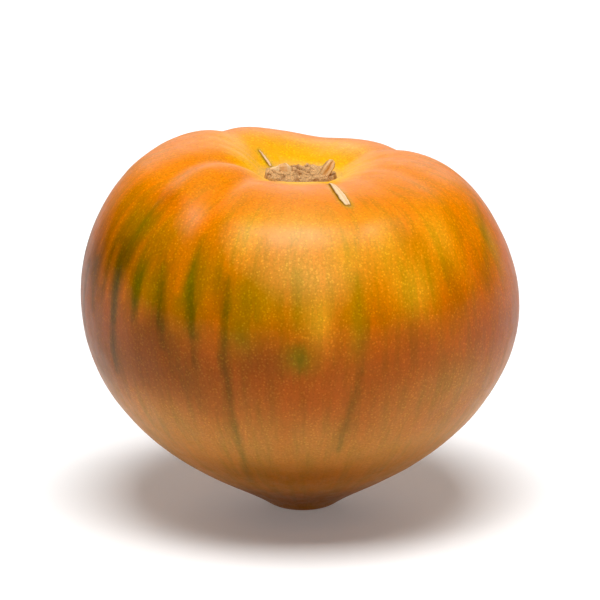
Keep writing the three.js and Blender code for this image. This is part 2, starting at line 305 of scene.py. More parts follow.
# the patches' outlines wander a little, so that none reads as a circle
wander = Noise(23)
place_mm = verts.copy()
shift_a = 2.2 * wander.rough(place_mm, 1 / 9.0, 3)
shift_s = 0.16 * wander.rough(place_mm + 57, 1 / 9.0, 3)
border = Noise(29)
long_mm = place_mm * np.array([1.0, 1.0, 0.3])
band_s = vs + (0.55 * border.rough(long_mm, 1 / 14.0, 3) + 0.25 * border.rough(long_mm + 31, 1 / 4.0, 2)) * (1 - smooth(12.8, 14.2, vs))
colour = np.stack([np.interp(band_s, [k for k, _ in BASE], [linear(*PALETTE[c])[i] for _, c in BASE]) for i in range(3)], -1)
for at, place, w_at, w_place, name in PATCHES:
    weight = 0.8 * np.exp(-((wrap(va + shift_a - at) / w_at) ** 2) - ((vs + shift_s - place) / w_place) ** 2)
    colour += (linear(*PALETTE[name]) - colour) * weight[:, None]

# warm corky collar that blends the skin into the stem scar
collar = smooth(16.25, 16.9, vs + 0.12 * wander.rough(place_mm, 1 / 1.3, 2))
colour += (linear(226, 176, 96) - colour) * (0.75 * collar)[:, None]
color_attribute(fruit, "ground", np.clip(colour, 0.002, 0.92))

# Streaks: points of azimuth, place and half width (mm), then strength.
VEINS = [
    ([(-20.6, 10.7, 0.05), (-20.4, 10.35, 0.3), (-20.2, 10.04, 0.45), (-20.5, 9.58, 0.61), (-20.8, 9.14, 0.65), (-20.2, 8.77, 0.48), (-20, 8.42, 0.37), (-19.8, 8, 0.32),
      (-19.8, 7.56, 0.28), (-19.7, 7.25, 0.26), (-20.2, 6.63, 0.17), (-23.8, 5.42, 0.09)], 0.9),
    ([(16, 9.02, 0.08), (14.9, 8.42, 0.15), (14.2, 8.17, 0.24), (13.4, 7.79, 0.34), (12.9, 7.42, 0.4), (12.6, 7.09, 0.28), (12.2, 6.92, 0.1)], 0.7),
    ([(-70, 6.88, 0.17), (-70.8, 6.59, 0.22), (-69.2, 6.36, 0.17), (-67.2, 6.23, 0.09)], 0.6),
    ([(-57.6, 10.3, 0.1), (-57.2, 10.0, 0.5), (-57, 9.66, 0.66), (-57.3, 9.31, 0.65), (-58, 8.98, 0.56), (-58.5, 8.65, 0.48), (-59.2, 8.27, 0.26)], 1.0),
    ([(-48.4, 10.3, 0.1), (-48.6, 10.05, 0.4), (-48.8, 9.83, 0.45), (-48.8, 9.6, 0.4), (-49, 9.44, 0.13)], 0.9),
    ([(-40.3, 10.3, 0.1), (-40.1, 10.0, 0.4), (-40, 9.71, 0.55), (-39.8, 9.52, 0.52), (-39.4, 9.33, 0.36), (-39, 9.1, 0.1)], 0.8),
    ([(-31, 10.4, 0.1), (-30.5, 10.1, 0.4), (-30.2, 9.77, 0.46), (-29.8, 9.44, 0.38), (-29.5, 9.19, 0.2), (-29.3, 8.9, 0.05)], 0.7),
    ([(-18, 10.0, 0.4), (-17, 9.75, 0.9), (-15.8, 9.6, 1.1), (-14.5, 9.5, 0.4)], 0.2),
    ([(-75.5, 10.1, 0.05), (-76, 9.4, 0.35), (-77, 9.0, 0.4), (-78, 8.5, 0.2)], 0.8),
    ([(78.5, 10.0, 0.05), (78, 9.3, 0.3), (77, 8.6, 0.35), (75, 7.8, 0.2)], 0.25),
    ([(118.3, 10.7, 0.05), (118, 9.9, 0.45), (117, 9.2, 0.5), (115.5, 8.3, 0.35), (114, 7.4, 0.15)], 0.4),
    ([(146, 10.3, 0.05), (146, 9.6, 0.38), (146.5, 8.9, 0.4), (148, 8.1, 0.2)], 0.3),
    ([(171.3, 10.8, 0.05), (171, 9.9, 0.5), (170, 9.2, 0.5), (168, 8.3, 0.35), (167.5, 7.3, 0.12)], 0.55),
    ([(-158.3, 10.5, 0.05), (-158, 9.7, 0.4), (-157, 9.1, 0.4), (-156, 8.4, 0.15)], 0.3),
    ([(-130.8, 10.8, 0.05), (-131, 9.9, 0.5), (-132, 9.2, 0.55), (-133.5, 8.4, 0.3), (-134, 7.6, 0.12)], 0.6),
    ([(-107.8, 10.5, 0.05), (-108, 9.6, 0.42), (-109, 8.9, 0.45), (-110, 8.2, 0.15)], 0.35),
    ([(-91.6, 10.4, 0.05), (-92, 9.5, 0.4), (-92.5, 9.0, 0.4), (-93, 8.5, 0.15)], 0.5),
]
OLIVES = [
    ([(-63.5, 11.3, 0.2), (-64, 10.8, 0.4), (-63.8, 10.2, 0.4), (-63.4, 9.7, 0.2)], 0.5),
    ([(-52, 11.6, 0.3), (-53.5, 11.0, 0.5), (-55, 10.5, 0.4)], 0.5),
    ([(-43, 11.3, 0.3), (-43.4, 10.8, 0.5), (-43, 10.3, 0.3)], 0.45),
    ([(-12.5, 11.0, 0.4), (-12.6, 10.5, 0.6), (-12.2, 10.0, 0.4)], 0.35),
    ([(-6.6, 10.6, 0.3), (-6.4, 10.1, 0.5), (-6.6, 9.7, 0.3)], 0.3),
    ([(3.8, 10.9, 0.2), (3.6, 10.4, 0.35), (3.4, 10.0, 0.2)], 0.3),
    ([(31, 10.6, 0.3), (30.6, 10.1, 0.4), (30.2, 9.7, 0.2)], 0.25),
    ([(38.5, 11.6, 0.3), (38.4, 11.0, 0.5), (38, 10.4, 0.3)], 0.25),
    ([(16, 10.9, 0.6), (16.5, 10.45, 0.97), (16.8, 10.12, 1.19), (16.8, 9.79, 0.97), (16.5, 9.5, 0.65), (16, 9.1, 0.35)], 0.6),
    ([(-61.2, 10.77, 0.65), (-59, 10.37, 1.08), (-57.8, 10.04, 1.19), (-57, 9.66, 0.97), (-57, 9.31, 0.69)], 0.8),
    ([(-48, 10.52, 0.65), (-48.2, 10.12, 0.97), (-48.8, 9.79, 0.69)], 0.9),
    ([(-41.2, 10.6, 0.54), (-40.5, 10.12, 0.76), (-40, 9.79, 0.91), (-39.8, 9.52, 0.78)], 0.9),
    ([(-33.2, 11.45, 0.65), (-32.8, 10.97, 1.08), (-32.2, 10.58, 1.3), (-31.5, 10.18, 1.08), (-30.5, 9.81, 0.82), (-29.8, 9.5, 0.56)], 1.0),
    ([(-23, 10.83, 0.43), (-22.2, 10.43, 0.87), (-21.2, 10.06, 0.87)], 0.7),
    ([(-0.8, 11, 0.65), (-0.8, 10.64, 0.87), (-0.5, 10.31, 0.87), (-0.8, 9.98, 0.43)], 0.5),
    ([(9, 10.77, 0.32), (8.8, 10.48, 0.54), (8.4, 10.21, 0.32)], 0.5),
    ([(77, 11.72, 0.32), (72.8, 11.43, 0.54), (67.8, 11.14, 0.65), (63.8, 10.83, 0.65), (61.2, 10.54, 0.54), (60, 10.23, 0.32)], 0.7),
    ([(-70.5, 10.27, 0.43), (-69.2, 9.75, 0.54), (-68.5, 9.37, 0.43)], 0.8),
    ([(-55.8, 11.99, 0.32), (-55.8, 11.54, 0.87), (-56.2, 11.06, 1.08), (-57.2, 10.64, 0.87)], 0.7),
    ([(-0.4, 9.52, 0.9), (-0.2, 9.3, 1.3), (0, 9.12, 0.65)], 0.9),
    ([(44.5, 10.9, 0.5), (44.2, 10.3, 0.8), (44, 9.6, 0.5)], 0.35),
    ([(118, 11.0, 0.7), (118.5, 10.4, 1.1), (118, 9.8, 0.8)], 0.9),
    ([(146, 10.8, 0.6), (146, 10.2, 0.9), (146, 9.6, 0.5)], 0.8),
    ([(171, 11.3, 0.6), (171.5, 10.6, 1.1), (171, 9.9, 0.8)], 0.9),
    ([(-158, 10.9, 0.5), (-158.5, 10.3, 1.0), (-158, 9.7, 0.6)], 0.9),
    ([(-131, 11.2, 0.6), (-130.5, 10.5, 1.1), (-131, 9.9, 0.8)], 0.9),
    ([(-108, 10.8, 0.6), (-107.5, 10.2, 1.0), (-108, 9.6, 0.6)], 0.8),
    ([(-92, 11.0, 0.5), (-91, 10.3, 1.0), (-92, 9.5, 0.6)], 0.9),
    ([(92, 10.8, 0.4), (91, 10.2, 0.8), (90, 9.5, 0.4)], 0.6),
]
# Warm red-orange lines, most of them along or beside the creases: partly the skin's own streaks, partly painted light
# reflected inside the creases.
WARMS = [
    ([(-47, 12.0, 0.2), (-49, 11.4, 0.4), (-51.5, 10.8, 0.45), (-53, 10.3, 0.45), (-53.3, 9.8, 0.3)], 0.35),
    ([(-66, 11.6, 0.2), (-66.5, 11.0, 0.35), (-66, 10.4, 0.35), (-65.5, 9.9, 0.2)], 0.35),
    ([(-37.5, 10.6, 0.3), (-36.6, 10.0, 0.45), (-35.6, 9.5, 0.3)], 0.2),
    ([(-27, 11.4, 0.3), (-26.6, 10.8, 0.45), (-26, 10.2, 0.3)], 0.25),
    ([(-33.8, 13.01, 0.35), (-33, 12.26, 0.55), (-33.3, 11.79, 0.7), (-34, 11.31, 0.8), (-34.5, 10.97, 0.8), (-35, 10.7, 0.75),
      (-35.3, 10.45, 0.6), (-35.5, 10.2, 0.4)], 0.5),
    ([(-44, 10.7, 0.43), (-45, 10.43, 0.54), (-46, 10.12, 0.54), (-45.8, 9.79, 0.54), (-45.8, 9.5, 0.4)], 0.22),
    ([(-62, 10.66, 0.32), (-62, 10.33, 0.43), (-61.5, 9.98, 0.43), (-61.2, 9.69, 0.4)], 0.25),
    ([(-72, 11.14, 0.5), (-71.5, 10.77, 0.5), (-70.8, 10.41, 0.4)], 0.25),
    ([(56, 11.08, 0.65), (54, 10.77, 0.87), (52.2, 10.45, 0.87)], 0.4),
    ([(104, 11.6, 0.5), (105, 11.0, 0.7), (106, 10.3, 0.5)], 0.4),
    ([(164, 11.5, 0.4), (163, 10.9, 0.6), (162.5, 10.2, 0.4)], 0.5),
    ([(-142, 11.8, 0.5), (-142, 11.1, 0.7), (-141, 10.3, 0.5)], 0.6),
]
WIDTH_AT, WIDTH_S = 1.0, 1.0
_ds = 0.05
span_s = np.linalg.norm(skin(va, np.minimum(vs + _ds, 19)) - skin(va, np.maximum(vs - _ds, 0)), axis=-1) / (np.minimum(vs + _ds, 19) - np.maximum(vs - _ds, 0))


def streak_field(lines):
    """Distance (mm) from every point of the skin to the nearest streak's edge, and that streak's strength."""
    nearest = np.full(len(vs), 6.0)
    strength = np.zeros(len(vs))
    radius = np.hypot(verts[:, 0], verts[:, 1]) + 1e-6
    for points, power in lines:
        for (a0, s0, w0), (a1, s1, w1) in zip(points[:-1], points[1:]):
            x = wrap(va - a0) * math.pi / 180 * radius
            y = (vs - s0) * span_s
            dx = (a1 - a0) * math.pi / 180 * radius
            dy = (s1 - s0) * span_s
            t = np.clip((x * dx + y * dy) / (dx * dx + dy * dy + 1e-9), 0, 1)
            d = np.hypot(x - t * dx, y - t * dy) - (w0 + t * (w1 - w0))
            closer = d < nearest
            nearest = np.where(closer, d, nearest)
            strength = np.where(closer, power, strength)
    return np.stack([nearest, strength, np.zeros(len(vs))], -1)


vector_attribute(fruit, "vein", streak_field(VEINS))
vector_attribute(fruit, "olive", streak_field(OLIVES))
vector_attribute(fruit, "warm", streak_field(WARMS))

# The two dry slivers lie in slits of the skin.
LEFT_SLIVER = [(-133.6, 16.6, 0.26), (-134.3, 16.38, 0.3), (-134.9, 16.2, 0.3), (-135.7, 15.95, 0.26), (-136.5, 15.72, 0.16), (-137.2, 15.55, 0.07)]
FRONT_SLIVER = [(24.6, 15.25, 0.1), (23.6, 14.95, 0.4), (22.4, 14.55, 0.62), (21.4, 14.1, 0.82), (20.8, 13.65, 0.86), (20.7, 13.45, 0.78), (20.8, 13.3, 0.58)]
slit = streak_field([(LEFT_SLIVER, 0.3), (FRONT_SLIVER, 0.5)])
vector_attribute(fruit, "slit", slit)

# A flat map of the skin in millimetres at the belly, for fibres that run along the meridians.
arc = np.concatenate([[0], np.cumsum(np.hypot(np.diff(spline(RING_RADIUS, fine)), np.diff(spline(RING_HEIGHT, fine))))])
va_r = np.radians(va)
vector_attribute(fruit, "grain", np.stack([46 * np.cos(va_r), 46 * np.sin(va_r), np.interp(vs, fine, arc)], -1))


# ------------------------------------------------------------------ node helpers
class Nodes:
    """Short calls that add shader nodes to one material."""

    def __init__(self, name, bsdf_values):
        self.material = bpy.data.materials.new(name)
        self.material.use_nodes = True
        self.tree = self.material.node_tree
        self.tree.nodes.clear()
        self.out = self.tree.nodes.new("ShaderNodeOutputMaterial")
        self.bsdf = self.tree.nodes.new("ShaderNodeBsdfPrincipled")
        self.tree.links.new(self.bsdf.outputs["BSDF"], self.out.inputs["Surface"])
        for key, value in bsdf_values.items():
            self.bsdf.inputs[key].default_value = value

    def link(self, a, b):
        self.tree.links.new(a, b)

    def put(self, kind, inputs=(), **settings):
        node = self.tree.nodes.new(kind)
        for key, value in settings.items():
            setattr(node, key, value)
        for socket, value in dict(inputs).items():
            target = node.inputs[socket]
            if isinstance(value, bpy.types.NodeSocket):
                self.link(value, target)
            else:
                target.default_value = value
        return node

    def math(self, operation, a, b=None, clamp=False):
        inputs = {0: a} if b is None else {0: a, 1: b}
        return self.put("ShaderNodeMath", inputs, operation=operation, use_clamp=clamp).outputs[0]

    def ramp(self, value, low, high, to_low=0.0, to_high=1.0, smoothed=True):
        node = self.put("ShaderNodeMapRange", {0: value, 1: low, 2: high, 3: to_low, 4: to_high},
                        interpolation_type="SMOOTHSTEP" if smoothed else "LINEAR")
        return node.outputs[0]

    def noise(self, vector, scale, detail=2.0, rough=0.5, distortion=0.0):
        return self.put("ShaderNodeTexNoise", {"Vector": vector, "Scale": scale, "Detail": detail, "Roughness": rough, "Distortion": distortion}).outputs[0]

    def voronoi(self, vector, scale, feature="F1", output="Distance", randomness=1.0):
        return self.put("ShaderNodeTexVoronoi", {"Vector": vector, "Scale": scale, "Randomness": randomness}, feature=feature).outputs[output]

    def mix(self, factor, a, b, blend="MIX"):
        node = self.put("ShaderNodeMix", {}, data_type="RGBA", blend_type=blend)
        for socket, value in ((node.inputs[0], factor), (node.inputs[6], a), (node.inputs[7], b)):
            if isinstance(value, bpy.types.NodeSocket):
                self.link(value, socket)
            elif isinstance(value, (int, float)):
                socket.default_value = value
            else:
                socket.default_value = tuple(value)[:3] + (1.0,)
        return node.outputs[2]

    def attribute(self, name, output="Fac"):
        return self.put("ShaderNodeAttribute", attribute_name=name).outputs[output]

    def object_mm(self):
        coords = self.put("ShaderNodeTexCoord").outputs["Object"]
        return self.put("ShaderNodeVectorMath", {0: coords, 3: 1000.0}, operation="SCALE").outputs[0]

    def bump(self, *layers):
        normal = None
        for height, distance, strength in layers:
            node = self.put("ShaderNodeBump", {"Height": height, "Distance": distance, "Strength": strength})
            if normal is not None:
                self.link(normal, node.inputs["Normal"])
            normal = node.outputs["Normal"]
        self.link(normal, self.bsdf.inputs["Normal"])

# ------------------------------------------------------------------ skin material
def split(n, socket):
    node = n.put("ShaderNodeSeparateXYZ", {0: socket})
    return node.outputs[0], node.outputs[1]


def stretched(n, socket, x, y, z):
    return n.put("ShaderNodeVectorMath", {0: socket, 1: (x, y, z)}, operation="MULTIPLY").outputs[0]


k = Nodes("tomato_skin", {"IOR": 1.36, "Specular IOR Level": 0.36, "Subsurface Weight": 0.06, "Subsurface Radius": (1.0, 0.35, 0.1), "Subsurface Scale": 0.0015})
mm = k.object_mm()
grain = k.attribute("grain", "Vector")
ground = k.attribute("ground", "Color")
along = k.attribute("along")

# soft blotches, fibres along the meridians
blotch = k.noise(mm, 0.16, 3.0, 0.55)
fade_top = k.ramp(along, 13.0, 14.6, 1.0, 0.22)
fibre = k.noise(stretched(k, grain, 1, 1, 0.16), 0.42, 3.0, 0.6)
fine_fibre = k.noise(stretched(k, grain, 1, 1, 0.1), 1.25, 2.0, 0.6)
col = k.mix(k.ramp(blotch, 0.42, 0.68, 0.0, 0.35), ground, k.mix(1.0, ground, (0.84, 0.94, 0.9), "MULTIPLY"))
col = k.mix(k.math("MULTIPLY", k.ramp(fibre, 0.46, 0.66, 0.0, 0.5), fade_top), col, k.mix(1.0, col, (0.74, 0.92, 0.8), "MULTIPLY"))
col = k.mix(k.ramp(fibre, 0.52, 0.34, 0.0, 0.5), col, k.mix(1.0, col, (1.12, 1.02, 1.0), "MULTIPLY"))
col = k.mix(k.math("MULTIPLY", k.ramp(fine_fibre, 0.42, 0.62, 0.0, 0.4), fade_top), col, k.mix(1.0, col, (0.86, 0.95, 0.9), "MULTIPLY"))

# streaks, their edges frayed by the fibres
fray = k.math("MULTIPLY", k.math("SUBTRACT", k.noise(stretched(k, grain, 1, 1, 0.22), 0.9, 3.0, 0.6), 0.5), 2.2)
fleck = k.math("MULTIPLY", k.math("SUBTRACT", k.noise(mm, 1.8, 2.0, 0.6), 0.5), 0.9)
ragged = k.math("ADD", fray, fleck)


def streak(name, soft_out, soft_in, wobble, tint, blend="MULTIPLY"):
    global col
    d, power = split(k, k.attribute(name, "Vector"))
    d = k.math("ADD", d, k.math("MULTIPLY", ragged, wobble))
    mask = k.math("MULTIPLY", k.ramp(d, soft_out, soft_in), power, clamp=True)
    col = k.mix(mask, col, k.mix(1.0, col, tint, blend) if blend == "MULTIPLY" else tint)
    return mask


streak("olive", 1.9, -1.0, 0.9, (0.60, 0.85, 0.8))
# warm red-orange lines, partly painted light reflected inside the creases
warm_streak_and_crease_glow = streak("warm", 1.6, -1.0, 0.7, (0.88, 0.20, 0.012), "MIX")
vein_mask = streak("vein", 1.5, -0.9, 0.7, (0.46, 0.72, 0.65))
slit_d, slit_power = split(k, k.attribute("slit", "Vector"))
green_halo = k.math("MULTIPLY", k.ramp(slit_d, 1.6, 0.1), 0.45)
col = k.mix(green_halo, col, (0.45, 0.33, 0.03))
# dark rim where the slivers sit in their slits: painted shade
slit_shade = k.math("MULTIPLY", k.ramp(k.math("ADD", slit_d, k.math("MULTIPLY", fleck, 0.12)), 0.34, 0.1), slit_power, clamp=True)
col = k.mix(slit_shade, col, (0.17, 0.11, 0.025))

# fine golden speckle of the skin's cells
cell = k.voronoi(mm, 1.55)
speck = k.ramp(cell, 0.46, 0.12)
speck_some = k.math("MULTIPLY", speck, k.ramp(k.noise(mm, 0.8, 3.0, 0.7), 0.36, 0.6, 0.35, 1.0))
away = k.ramp(along, 5.0, 8.5)
gold = k.mix(1.0, k.mix(1.0, col, (1.3, 1.5, 1.4), "MULTIPLY"), (0.03, 0.024, 0.003), "ADD")
col = k.mix(k.math("MULTIPLY", k.math("MULTIPLY", speck_some, away), 0.8), col, gold)
mottle = k.noise(mm, 1.9, 3.0, 0.75)
col = k.mix(k.ramp(mottle, 0.44, 0.62, 0.0, 0.7), col, k.mix(1.0, col, (0.8, 0.82, 0.8), "MULTIPLY"))
k.link(col, k.bsdf.inputs["Base Color"])

# satin skin, duller on the collar and slightly duller on the speckle
rough = k.math("ADD", k.ramp(k.noise(mm, 0.35, 3.0, 0.6), 0.3, 0.7, 0.35, 0.43), k.ramp(along, 16.2, 16.9, 0.0, 0.3))
rough = k.math("ADD", rough, k.math("MULTIPLY", speck, 0.04), clamp=True)
k.link(rough, k.bsdf.inputs["Roughness"])
k.bump((k.noise(mm, 0.5, 2.0), 0.00012, 0.25), (fine_fibre, 0.00005, 0.3), (k.noise(mm, 2.4, 2.0, 0.6), 0.00003, 0.35),
       (k.ramp(slit_d, 0.0, 0.5), 0.0003, 0.8))
fruit.data.materials.append(k.material)

# ------------------------------------------------------------------ corky stem scar
SCAR_TOP = 75.0
crumb = Noise(41)
RINGS, SPOKES = 64, 220


def ridged(p, scale, octaves=4):
    total, gain = 0.0, 1.0
    for i in range(octaves):
        total = total + gain * (1 - abs(crumb(p + 5.3 * i, scale * 2**i)) * 2)
        gain *= 0.55
    return total / 2.0


spoke = np.linspace(-180, 180, SPOKES + 1)[:-1]
hem = skin(spoke, np.full(SPOKES, 16.86))
hem_r = np.hypot(hem[:, 0], hem[:, 1])
hem_z = hem[:, 2]
behind = 0.5 - 0.5 * np.cos(np.radians(spoke))  # 0 in front, 1 behind
wob = np.stack([np.cos(np.radians(spoke)), np.sin(np.radians(spoke)), np.zeros(SPOKES)], -1) * 8
edge_r = hem_r * (1 - 0.27 * behind**2) + 0.3 * crumb.rough(wob, 0.55, 3) + 0.16 * crumb.rough(wob + 9, 1.7, 2)
t = (np.arange(1, RINGS + 1) / RINGS) ** 0.9
T, J = np.meshgrid(t, np.arange(SPOKES), indexing="ij")
RR = T * edge_r[J]
X = RR * np.sin(np.radians(spoke[J]))
Y = -RR * np.cos(np.radians(spoke[J]))
flat = np.stack([X, Y, np.zeros_like(X)], -1)
relief = 0.30 * ridged(flat, 0.45) + 0.30 * ridged(flat + 20, 1.1, 3)
pits = np.clip(crumb.rough(flat + 70, 0.8, 2) - 0.15, 0, 1)
bowl = 0.45 * np.exp(-((X / 3.6) ** 2) - ((Y + 1.5) / 2.6) ** 2)
back_lip = 0.5 * smooth(0.55, 0.85, T) * behind[J] * (0.5 + 0.9 * crumb.rough(wob[J] + 3, 0.55, 2))
front_gap = 0.75 * np.exp(-((wrap(spoke[J] - 3) / 62) ** 2)) * smooth(0.55, 0.98, T)
side_left = 0.5 * np.exp(-((X + 6.9) / 1.3) ** 2 - ((Y + 0.5) / 2.2) ** 2)
level = SCAR_TOP - 0.35 + relief - 1.1 * pits - bowl + back_lip - front_gap + side_left
foot_z = np.where(behind > 0.35, 73.6, hem_z - 0.35)
level = level * (1 - smooth(0.95, 1.0, T)) + foot_z[J] * smooth(0.95, 1.0, T)
# cork colour height: low in pits, the bowl and the front gap, high on ridges, the back lip and the left side; the
# cork's colour follows it, so it is painted shade in the hollows, a painted shadow along the front gap and painted
# light on the raised parts
painted_cork_shade = relief - 1.3 * pits - 0.7 * bowl + 0.5 * back_lip - 0.9 * front_gap + 0.4 * side_left
face = np.stack([X, Y, level], -1)
under = []
for drop, pull in ((0.3, 0.985), (0.8, 0.93)):
    under.append(np.stack([edge_r * pull * np.sin(np.radians(spoke)), -edge_r * pull * np.cos(np.radians(spoke)), foot_z - drop], -1))
centre_top = np.array([[0.0, 0.0, level[0].mean()]])
scar_rings = np.concatenate([face, np.array(under)])
scar_verts = np.concatenate([centre_top, scar_rings.reshape(-1, 3), [[0, 0, foot_z.mean() - 0.8]]])
n_rings = len(scar_rings)
scar_faces = grid_faces(SPOKES, n_rings, 1, flip=True)
for j in range(SPOKES):
    q = (j + 1) % SPOKES
    scar_faces.append([0, 1 + j, 1 + q])
    scar_faces.append([len(scar_verts) - 1, 1 + (n_rings - 1) * SPOKES + q, 1 + (n_rings - 1) * SPOKES + j])
scar = mesh_object("stem_scar_cork", metres(scar_verts), scar_faces)
note = np.concatenate([[painted_cork_shade[0].mean()], painted_cork_shade.ravel(), np.full(2 * SPOKES + 1, -0.6)])
float_attribute(scar, "relief", note)
float_attribute(scar, "rim", np.concatenate([[0], T.ravel(), np.ones(2 * SPOKES + 1)]))

c = Nodes("dry_cork", {"IOR": 1.45, "Specular IOR Level": 0.3})
mm = c.object_mm()
height_shade_a = c.attribute("relief")
rim_a = c.attribute("rim")
grit = c.noise(mm, 1.6, 4.0, 0.65)
grit_fine = c.noise(mm, 5.0, 3.0, 0.7)
cells = c.voronoi(mm, 1.5, "DISTANCE_TO_EDGE")
# the cork is darkest in the hollows and palest on the raised parts: painted shade and painted light by height
col = c.mix(c.ramp(height_shade_a, -0.6, 0.25), (0.26, 0.085, 0.022), (1.0, 0.60, 0.27))
col = c.mix(c.ramp(grit, 0.36, 0.62, 0.0, 0.6), col, (0.85, 0.46, 0.17))
stain = c.noise(mm, 0.75, 3.0, 0.6)
col = c.mix(c.ramp(stain, 0.50, 0.62, 0.0, 0.75), col, (0.40, 0.14, 0.035))
col = c.mix(c.ramp(grit_fine, 0.50, 0.70, 0.0, 0.7), col, (1.0, 0.76, 0.42))
col = c.mix(c.ramp(grit_fine, 0.44, 0.28, 0.0, 0.6), col, (0.22, 0.08, 0.028))
col = c.mix(c.ramp(cells, 0.10, 0.0, 0.0, 0.5), col, (0.20, 0.075, 0.025))
col = c.mix(c.ramp(rim_a, 0.9, 1.0, 0.0, 0.55), col, (0.66, 0.40, 0.17))
c.link(col, c.bsdf.inputs["Base Color"])
c.link(c.ramp(grit_fine, 0.3, 0.7, 0.75, 0.95), c.bsdf.inputs["Roughness"])
c.bump((grit, 0.0008, 0.8), (grit_fine, 0.0003, 0.8), (cells, 0.0003, 0.5))
scar.data.materials.append(c.material)


# ------------------------------------------------------------------ dry sepal remnants
def slab(name, front, back):
    """A closed thin slab between two grids of the same size."""
    rows, cols = front.shape[:2]
    points = np.concatenate([front.reshape(-1, 3), back.reshape(-1, 3)])
    off = rows * cols
    out = []
    for i in range(rows - 1):
        for j in range(cols - 1):
            a, b = i * cols + j, i * cols + j + 1
            d, e = a + cols, b + cols
            out.append([a, b, e, d])
            out.append([off + a, off + d, off + e, off + b])
    rim = [j for j in range(cols)] + [i * cols + cols - 1 for i in range(1, rows)] + [(rows - 1) * cols + j for j in range(cols - 2, -1, -1)] + [i * cols for i in range(rows - 2, 0, -1)]
    for i in range(len(rim)):
        a, b = rim[i], rim[(i + 1) % len(rim)]
        out.append([b, a, off + a, off + b])
    obj = mesh_object(name, points, out)
    obj.data.validate()
    return obj


def stub(name, seed, foot, height, width, thickness, lean, turn, top, side_curl, ridges, bow, sink=1.3):
    """A thin upright leaf stub: top(u) is its height across the width, -1..1."""
    rows, cols = 44, 30
    v, u = np.meshgrid(np.linspace(0, 1, rows), np.linspace(-1, 1, cols), indexing="ij")
    noise = Noise(seed)
    reach = top(u)
    z = -sink + (height * reach + sink) * v
    w = width / 2 * (0.86 + 0.14 * np.sin(np.pi * np.clip(v, 0, 1) * 0.9) - 0.22 * smooth(0.8, 1.0, v))
    x = u * w + 0.10 * noise.rough(np.stack([u * 2, v * 4, 0 * u], -1), 1.3, 2)
    t = thickness / 2 * (1 - 0.55 * abs(u) ** 3) * (1 - 0.5 * smooth(0.75, 1, v))
    y = side_curl * (u**2 - 0.3) * (0.4 + 0.6 * v) + bow * (v**2) + 0.10 * np.sin(u * ridges + 0.6) * (0.3 + 0.7 * v)
    y = y + 0.09 * noise.rough(np.stack([u * 3, v * 2, 0 * u], -1), 2.0, 2)
    z = z + 0.12 * smooth(0.75, 1, v) * noise.rough(np.stack([u * 5, v, 0 * u + 4], -1), 1.5, 2)

    def placed(y_off):
        p = np.stack([x, y + y_off, z], -1)
        c1, s1 = math.cos(math.radians(lean)), math.sin(math.radians(lean))
        p = np.stack([c1 * p[..., 0] + s1 * p[..., 2], p[..., 1], -s1 * p[..., 0] + c1 * p[..., 2]], -1)
        c2, s2 = math.cos(math.radians(turn)), math.sin(math.radians(turn))
        p = np.stack([c2 * p[..., 0] - s2 * p[..., 1], s2 * p[..., 0] + c2 * p[..., 1], p[..., 2]], -1)
        return metres(p + np.array([foot[0], foot[1], foot[2]]))

    obj = slab(name, placed(-t), placed(t))
    uv = np.stack([u.ravel(), v.ravel(), np.zeros(u.size)], -1)
    vector_attribute(obj, "leaf", np.concatenate([uv, uv]))
    return obj


tongue = stub("sepal_tongue", 51, (5.3, -2.5, 75.3), 3.1, 2.3, 0.5, 33, 6,
              lambda u: 1.0 - 0.07 * (u - 0.2) ** 2 - 0.05 * smooth(0.3, 1.0, u), -0.22, 6.0, 0.1)
flap = stub("sepal_flap", 52, (-4.2, 1.2, 75.0), 1.35, 5.2, 0.5, 0, -8,
            lambda u: 0.30 + 0.70 * smooth(-1.1, 0.5, u) - 0.35 * smooth(0.65, 1.0, u), 0.3, 5.0, 0.2)


